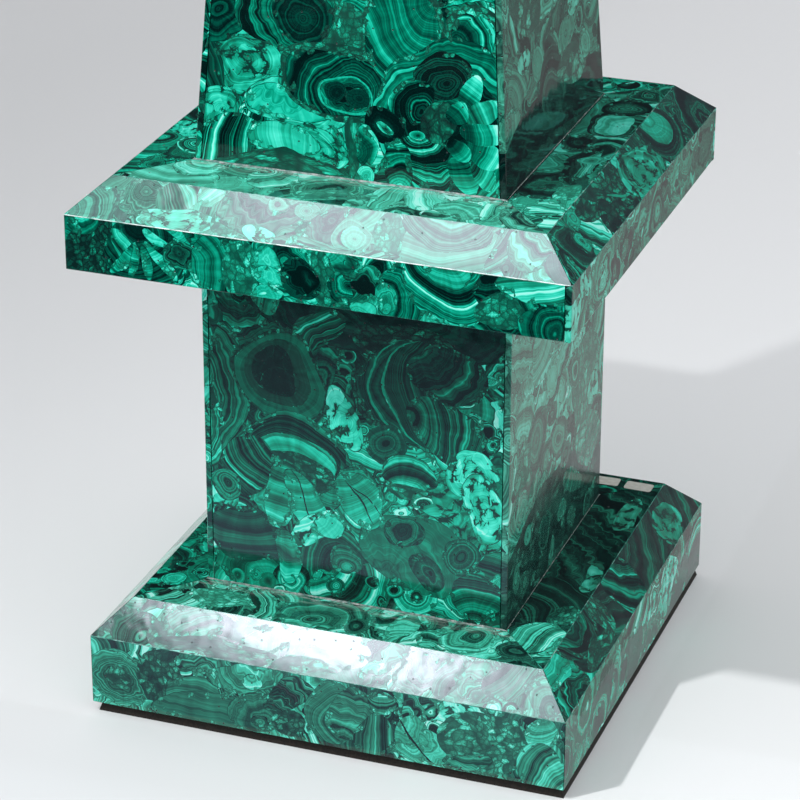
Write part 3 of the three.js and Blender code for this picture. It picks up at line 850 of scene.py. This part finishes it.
        (17, 90, 8, 26, -0.2, 0.8, 6, 1, 0, (60, 88)), (20, 97, 7, 6, -0.05, 0.4, 7, 1, 0, None, 0.45, 0.3),
        (7, 118, 8, 12, -0.28, 0.6, 8, 1, 0, None, 0.45, 0.2),
        (4, 155, 9, 32, -0.02, 0.3, 9, 1, 0, (-60, 150)), (18, 147, 15, 19, -0.2, 0.8, 10, 1, 0, (26, 145)),
        (18, 146, 11, 14, 0.32, 0.3, 11, 0.8, 0, (28, 144), 0.45, 0, 1),
        (16, 172, 11, 13, -0.16, 0.5, 12, 1.2, 0, None, 0.45, -0.1),
    ],
    "slab_bevel_right": [
        (27, 12, 11, 14, -0.3, 0.7, 1, 1, 0, (32, 12), 0.45, 0.25), (35, 12, 6, 7, -0.1, 0.6, 2),
        (52, 9, 14, 12, 0.3, 0.8, 3, 0.9, -20, (90, 40)), (48, 21, 9, 5, 0.2, 0.4, 4),
        (85, 17, 34, 10, -0.1, crumbs), (88, 4, 24, 9, -0.3, crumbs),
        (98, 11, 12, 1, 0.3, 0.2, 6, 1, -14, None, 0.45, 0, 1), (138, 8, 26, 13, -0.12, broken, 1, 1.4),
        (183, 14, 22, 20, -0.14, 0.7, 7, 1.2, 0, (180, 20), 0.1),
        (181, 17, 13, 12, 0.3, 0.25, 8, 1, 0, (180, 24), 0.45, -0.2, 1),
        (230, 6, 26, 20, -0.3, 0.6, 9, 1, 0, (232, 0), 0.7, 0.12),
    ],
    "base_ledge_right": [
        (14, 120, 26, 112, -0.24, 0.5, 1, 1, 0, (-60, 60), 0.9, 0, 1),
        (12, 68, 18, 25, -0.24, 0.7, 2, 0.8, 0, (-10, 40), 1, 0, 1),
        (15, 28, 13, 19, 0.2, 1, 3, 0.9, -20, (45, 22), 0.2), (23, 55, 8, 9, 0, crumbs),
        (24, 98, 5, 15, -0.1, broken), (22, 174, 7, 20, -0.2, broken, 1, 0.8),
    ],
    "base_bevel_right": [
        (150, 10, 112, 22, -0.28, 0.5, 1, 1, 0, (120, 90), 0.45, 0, 1),
        (18, 3, 22, 7, -0.2, 0.9, 3, 1.2, 0, (30, -12), 0.8), (24, 20, 15, 11, 0.16, 0.5, 2, 1, 0, (24, 44)),
        (60, 24, 25, 15, -0.26, 0.8, 4, 1.2, 0, (60, 30), 0.5),
        (60, 26, 19, 11, -0.04, 0.5, 5, 1, 0, (60, 32), 0.45, 0, 1), (68, 5, 24, 6, -0.1, crumbs),
        (92, 14, 9, 12, -0.05, crumbs), (128, 14, 16, 16, -0.14, 0.8, 6, 0.9, 0, (150, 30)),
        (205, 9, 18, 10, -0.25, broken, 1, 1.2),
    ],
}


# Where a column stands, from the bead of filler round it: the middle, and how far the bead reaches from it.
def footOf(bead):
    low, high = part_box(bead)
    return ((low[0] + high[0]) / 2, (low[1] + high[1]) / 2, 0), (high[0] - low[0]) / 2


columnOn = {"base_ledge_front": footOf("pedestal_bead"), "slab_ledge_front": footOf("shaft_bead")}
plainMalachite = makeMalachite("malachite", stoneLook)
stoneNodes = [row["node"] for row in frame["record"]["subparts"] if row["material_slot"] == "malachite"]
for index, node in enumerate(stoneNodes):
    shift = tuple(part * index for part in facingLook["patternStep"])
    nodules, own = placedNodules.get(node, ()), facingLook["own"].get(node)
    if nodules or own:
        material = makeMalachite(node + " malachite", stoneLook, shift, nodules, own, columnOn.get(node))
        makeFacing(node, material, (0, 0), facingLook)
    else:
        makeFacing(node, plainMalachite, shift, facingLook)
print("facings done:", len(stoneNodes))


# The plain pieces: blocks, pad, filler and paper. Their patterns lie in the object's own space, in metres.
plainLook = {
    "block": {"colours": [(0.3, (0.003, 0.005, 0.004)), (0.7, (0.018, 0.024, 0.020))], "size": 0.004,
              "roughness": 0.9, "relief": 0.4},
    "pad": {"colours": [(0.35, (0.006, 0.005, 0.004)), (0.65, (0.024, 0.018, 0.014))], "size": 0.0009,
            "roughness": 0.95, "relief": 0.6, "stretch": (1, 1, 0.5)},
    "paste": {"colours": [(0.34, (0.02, 0.10, 0.08)), (0.48, (0.12, 0.18, 0.16)), (0.64, (0.34, 0.35, 0.34))],
              "size": 0.003, "roughness": 0.6, "relief": 0.3},
    # pale, for a painted glint of the lamp along the slab's front arris between its band and bevel
    "painted glint seam": {"colours": [(0.36, (0.1, 0.3, 0.25)), (0.46, (0.5, 0.64, 0.61)), (0.6, (0.78, 0.84, 0.83))],
                  "size": 0.005, "roughness": 0.3, "relief": 0.1},
    "seam": {"colours": [(0.38, (0.005, 0.07, 0.05)), (0.5, (0.02, 0.2, 0.15)), (0.62, (0.22, 0.42, 0.36))],
             "size": 0.006, "roughness": 0.18, "relief": 0.1},
    "paper": {"colours": [(0.3, (0.44, 0.43, 0.38)), (0.7, (0.62, 0.61, 0.57))], "size": 0.0012,
              "roughness": 0.8, "relief": 0.15, "stretch": (0.4, 1, 1)},
}


def makeMottled(name, look):
    material, g = newMaterial(name)
    size = look["size"]
    perSize = tuple(part / size for part in look.get("stretch", (1, 1, 1)))
    place = g.mulV(g.new("TexCoord").outputs["Object"], perSize)
    mottle = g.noise(place, "3D", 4.0, 0.65)["Fac"]
    roughness = g.mulAdd(mottle, 0.2, look["roughness"] - 0.1)
    normal = g.bump(mottle, size * 0.5, look["relief"])
    inputs = {"Base Color": g.ramp(mottle, look["colours"]), "Roughness": roughness, "Normal": normal}
    g.finish("BsdfPrincipled", inputs)
    return material


plainMaterials = {name: makeMottled(name, look) for name, look in plainLook.items()}
for row in frame["record"]["subparts"]:
    if row["material_slot"] in ("block", "pad", "paper"):
        materials = frame["nodes"][row["node"]].data.materials
        materials.clear()
        materials.append(plainMaterials[row["material_slot"]])


# The lines of filler at the columns' feet, pressed in by hand: a fillet that is thicker here and thinner
# there. Its section goes from the corner up the column, then down to the ledge, in shares of its width and
# height.
pasteLook = {
    "section": [(0, 0), (0, 1), (0.33, 0.42), (0.67, 0.12), (1, 0), (0, 0)],
    "step": 0.002,
    "reach": (0.38, 0.6),  # the least of its width as a share of the room for it, and how much more in places
    "rise": (0.32, 0.5),  # the same for its height
    "per": 140.0,  # how fast that changes along it, per metre
    "thin": 0.22,  # how much of it there is along the right side
}


# A share of the room for the filler, which changes along the wall that it lies against. The height, in
# metres, picks one of many ways of changing.
def unevenShare(wall, height, limits, per):
    least, more = limits
    change = noise.fractal((wall + Vector((0, 0, height))) * per, 0.6, 2.0, 3)
    return least + more * (0.5 + 0.5 * change)


def makePaste(node, look):
    low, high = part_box(node)
    middle, half = footOf(node)
    middle = Vector((middle[0], middle[1], low[2]))
    corners = [v.co - middle for v in frame["nodes"][node].data.vertices]
    inner = min(max(abs(corner.x), abs(corner.y)) for corner in corners)
    bm = bmesh.new()
    square = Matrix.Translation(middle) @ Matrix.Rotation(math.pi / 4, 4, "Z")
    bmesh.ops.create_circle(bm, segments=4, radius=inner * math.sqrt(2), matrix=square)
    loop = list(bm.edges)
    width = inner
    for (_, before), (across, up) in zip(look["section"], look["section"][1:]):
        made = bmesh.ops.extrude_edge_only(bm, edges=loop)["geom"]
        verts = [part for part in made if isinstance(part, bmesh.types.BMVert)]
        loop = [part for part in made if isinstance(part, bmesh.types.BMEdge)]
        loop = [edge for edge in loop if set(edge.verts) <= set(verts)]
        wider = inner + (half - inner) * across
        wide = (wider / width, wider / width, 1)
        bmesh.ops.scale(bm, vec=wide, space=Matrix.Translation(-middle), verts=verts)
        bmesh.ops.translate(bm, vec=(0, 0, (up - before) * (high[2] - low[2])), verts=verts)
        width = wider
    bmesh.ops.remove_doubles(bm, verts=bm.verts, dist=same)
    lengthwise = [edge for edge in bm.edges if edge.calc_length() > inner]
    bmesh.ops.subdivide_edges(bm, edges=lengthwise, cuts=int(2 * inner / look["step"]), use_grid_fill=True)
    for vert in bm.verts:
        place = vert.co - middle
        wall = Vector([max(-inner, min(inner, part)) for part in place.xy] + [0])
        reach = unevenShare(wall, 0.02, look["reach"], look["per"])
        rise = unevenShare(wall, 0.3, look["rise"], look["per"])
        if wall.x == inner and abs(wall.y) < inner:
            reach, rise = reach * look["thin"], rise * look["thin"]
        out = place - wall
        vert.co = middle + wall + Vector((out.x * reach, out.y * reach, out.z * rise))
    bmesh.ops.recalc_face_normals(bm, faces=bm.faces)
    finishPiece(bm, node + "_paste", plainMaterials["paste"], replaced=node)


for node in ("pedestal_bead", "shaft_bead"):
    makePaste(node, pasteLook)

# The seams between a slab's upright bands, bevels and ledges, where the polishing went over stone and glue
# alike. Each is a thin bar with a rounded back that fills the gap between two facings.
seamLook = {"depth": 0.0007, "rounding": 0.00024, "segments": 4}


# The two ends of a facing's upper or lower long edge, from left to right, and its outer face's normal.
def longEdge(node, upper):
    _, kind, side = node.split("_")
    bm = openSolid(node)
    outer = outerFace(bm, kind, side)
    away = Vector(outward[side])
    across = Vector((0, 0, 1)).cross(away)
    rank = [(-v.co.dot(away) if kind == "ledge" else v.co.z, v.co.copy()) for v in outer.verts]
    rank.sort(key=lambda row: row[0], reverse=upper)
    ends = sorted((point for _, point in rank[:2]), key=lambda point: point.dot(across))
    normal = outer.normal.copy()
    bm.free()
    return ends, normal


def makeSeams(name, tier, lower, upper, sides, material, look):
    bm = bmesh.new()
    for side in sides:
        lowEnds, lowNormal = longEdge(f"{tier}_{lower}_{side}", True)
        highEnds, highNormal = longEdge(f"{tier}_{upper}_{side}", False)
        climb = lowNormal.cross((lowEnds[1] - lowEnds[0]).normalized())
        arris = [low + climb * ((high - low).dot(highNormal) / climb.dot(highNormal))
                 for low, high in zip(lowEnds, highEnds)]
        points = arris + lowEnds + highEnds
        points += [point - lowNormal * look["depth"] for point in lowEnds]
        points += [point - highNormal * look["depth"] for point in highEnds]
        verts = [bm.verts.new(point) for point in points]
        bmesh.ops.convex_hull(bm, input=verts)
        roundEdges(bm, [bm.edges.get(verts[:2])], look["rounding"], look["segments"])
    loose = [vert for vert in bm.verts if not vert.link_faces]
    bmesh.ops.delete(bm, geom=loose, context="VERTS")
    bmesh.ops.dissolve_limit(bm, angle_limit=0.001, verts=bm.verts, edges=bm.edges)
    bmesh.ops.recalc_face_normals(bm, faces=bm.faces)
    finishPiece(bm, name, plainMaterials[material])


# the pale front seam is a painted glint along that rounded arris
makeSeams("slab_front_seam", "slab", "edge", "bevel", allSides[:1], "painted glint seam", seamLook)
makeSeams("slab_bevel_seam", "slab", "edge", "bevel", allSides[1:], "seam", seamLook)
makeSeams("slab_ledge_seam", "slab", "bevel", "ledge", allSides, "seam", seamLook)
makeSeams("base_bevel_seam", "base", "edge", "bevel", allSides, "seam", seamLook)
makeSeams("base_ledge_seam", "base", "bevel", "ledge", allSides, "seam", seamLook)
print("plain pieces done")


# The studio. The key lights the scene and casts the shadow. The softbox shows only in the polish.
studioLook = {
    "keyAt": (-0.419, -0.661, 1.092),
    "keyAim": (0.35, -0.2, 0),
    "keySize": 0.04,
    "keyPower": 3.0,
    "keySpread": 95,  # degrees
    "floor": (0.80, 0.81, 0.82),
    "floorRoughness": 0.7,
    "floorSize": 14.0,
    # painted shade on the floor: its tone falls off to the left and towards the front, as the light does
    # there: from, to, and the tones between
    "floorPaintedShade": [
        (-0.70, 0.25, [(0.0, 0.80), (0.40, 0.875), (0.55, 0.94), (0.75, 0.985), (0.85, 1.0), (1.0, 1.0)]),
        (-0.25, 0.05, [(0.0, 0.92), (0.25, 0.92), (0.5, 1.0), (1.0, 1.0)]),
    ],
    "sky": [(0.0, (0.66, 0.665, 0.675)), (0.75, (0.88, 0.885, 0.90))],  # from the horizon upwards
    "rightwards": 0.15,  # how much brighter the studio is on the right
}
# The softbox is a level board that only the polish sees, with a lamp behind its cloth: how its brightness
# runs from left to right and from front to back, and the round glow of the lamp.
softboxLook = {
    "corners": ((-1.0, -1.3, 1.16), (0.6, 0.3, 1.16)),
    "tint": (0.86, 0.92, 1.03),
    "across": [(0.0, 0.05), (0.22, 0.2), (0.30, 0.2), (0.34, 0.25), (0.385, 1.0), (0.9, 1.0), (1.0, 0.0)],
    "along": [(0.0, 0.2), (0.32, 0.75), (0.50, 0.6), (0.565, 1.0), (0.9, 1.0), (1.0, 0.0)],
    "cloth": 10.0,
    "lampAt": (-0.445, -0.72, 0),
    "lampRadii": (0.22, 0.03),  # where its glow ends, and where it is whole
    "lamp": 24.0,
}
# Boards that only the polish sees: the floor in front looks dark in it, and so does the room behind. Each has
# two opposite corners, the axis along which its tone changes, a tint, and the tones from the first corner to
# the second.
flagsLook = {
    "front": ((-1.6, -0.13, 0.003), (1.2, -2.2, 0.003), 1, (0.8, 1.1, 1.4),
              [(0.0, 0.45), (0.022, 0.5), (0.03, 0.84), (0.078, 0.5), (0.126, 0.34), (0.18, 0.24),
               (0.223, 0.01), (1.0, 0.005)]),
    "side": ((0.14, -0.05, 0.004), (1.6, 3.0, 0.004), 1, (1.0, 1.0, 1.0),
             [(0.0, 0.30), (0.06, 0.38), (0.11, 0.52), (0.17, 0.46), (0.25, 0.31), (0.4, 0.25), (1.0, 0.2)]),
    "room": ((-3.0, 2.2, 0.5), (3.0, 2.2, 3.2), 0, (1.0, 1.1, 1.3),
             [(0.0, 0.18), (0.1, 0.05), (0.45, 0.03), (0.62, 0.16), (1.0, 0.2)]),
}


def makeBoard(name, corner, opposite, material):
    middle = (Vector(corner) + Vector(opposite)) / 2
    size = Vector(opposite) - Vector(corner)
    bm = bmesh.new()
    bmesh.ops.create_grid(bm, x_segments=1, y_segments=1, size=0.5)
    if abs(size.y) < same:
        bmesh.ops.rotate(bm, verts=bm.verts, matrix=Matrix.Rotation(math.pi / 2, 3, "X"))
    bmesh.ops.scale(bm, vec=[max(abs(part), same) for part in size], verts=bm.verts)
    bmesh.ops.translate(bm, vec=middle, verts=bm.verts)
    board = addMesh(bm, name, material)
    return board


# The tone of a glowing board along one axis.
def tonesAlong(g, axis, corner, opposite, tones):
    along = g.split(g.new("TexCoord").outputs["Object"])[axis]
    along = g.calc("DIVIDE", g.sub(along, corner[axis]), opposite[axis] - corner[axis])
    return g.split(g.greys(along, tones))[0]


# A board whose glow only the polish sees. Its strength is worked out by the function that it is given.
def makeGlow(name, corner, opposite, tint, strengthOf):
    material, g = newMaterial(name)
    material.cycles.emission_sampling = "NONE"
    g.finish("Emission", {"Color": (*tint, 1), "Strength": strengthOf(g)})
    board = makeBoard(name, corner, opposite, material)
    board.visible_camera = False
    board.visible_diffuse = False
    board.visible_shadow = False


def makeFlag(name, corner, opposite, axis, tint, tones):
    makeGlow(name, corner, opposite, tint, lambda g: tonesAlong(g, axis, corner, opposite, tones))


def makeSoftbox(look):
    def strengthOf(g):
        across = tonesAlong(g, 0, *look["corners"], look["across"])
        along = tonesAlong(g, 1, *look["corners"], look["along"])
        place = g.mulV(g.new("TexCoord").outputs["Object"], (1, 1, 0))
        lamp = g.smoothStep(g.length(g.subV(place, look["lampAt"])), *look["lampRadii"])
        return g.mulAdd(lamp, look["lamp"], g.mul(g.mul(across, along), look["cloth"]))

    makeGlow("softbox", *look["corners"], look["tint"], strengthOf)


def makeFloorPaper(look):
    material, g = newMaterial("floor")
    place = g.split(g.new("TexCoord").outputs["Object"])
    colour = (*look["floor"], 1)
    # painted shade: the floor's colour is darker to the left and towards the front
    for axis, (low, high, tones) in enumerate(look["floorPaintedShade"]):
        along = g.new("MapRange", {"Value": place[axis], "From Min": low, "From Max": high}).outputs[0]
        colour = g.mixColour(1.0, g.greys(along, tones), colour, blend_type="MULTIPLY")
    g.finish("BsdfPrincipled", {"Base Color": colour, "Roughness": look["floorRoughness"]})
    return material


def makeKey(look):
    data = bpy.data.lights.new("key", "AREA")
    data.shape = "DISK"
    data.size = look["keySize"]
    data.energy = look["keyPower"]
    data.spread = math.radians(look["keySpread"])
    key = bpy.data.objects.new("key", data)
    key.location = look["keyAt"]
    key.rotation_euler = (Vector(look["keyAt"]) - Vector(look["keyAim"])).to_track_quat("Z", "Y").to_euler()
    key.visible_glossy = False
    bpy.context.scene.collection.objects.link(key)


def makeSky(look):
    world = bpy.data.worlds.new("studio")
    world.use_nodes = True
    g = Nodes(world.node_tree)
    rightwards, _, height = g.split(g.new("TexCoord").outputs["Generated"])
    background = g.tree.nodes["Background"].inputs
    g.put(g.ramp(height, look["sky"]), background["Color"])
    g.put(g.mulAdd(rightwards, look["rightwards"], 1.0), background["Strength"])
    bpy.context.scene.world = world


makeKey(studioLook)
makeSoftbox(softboxLook)
reach = studioLook["floorSize"] / 2
makeBoard("floor", (-reach, -reach, 0), (reach, reach, 0), makeFloorPaper(studioLook))
for name, row in flagsLook.items():
    makeFlag(name + " flag", *row)
makeSky(studioLook)
print("studio done")
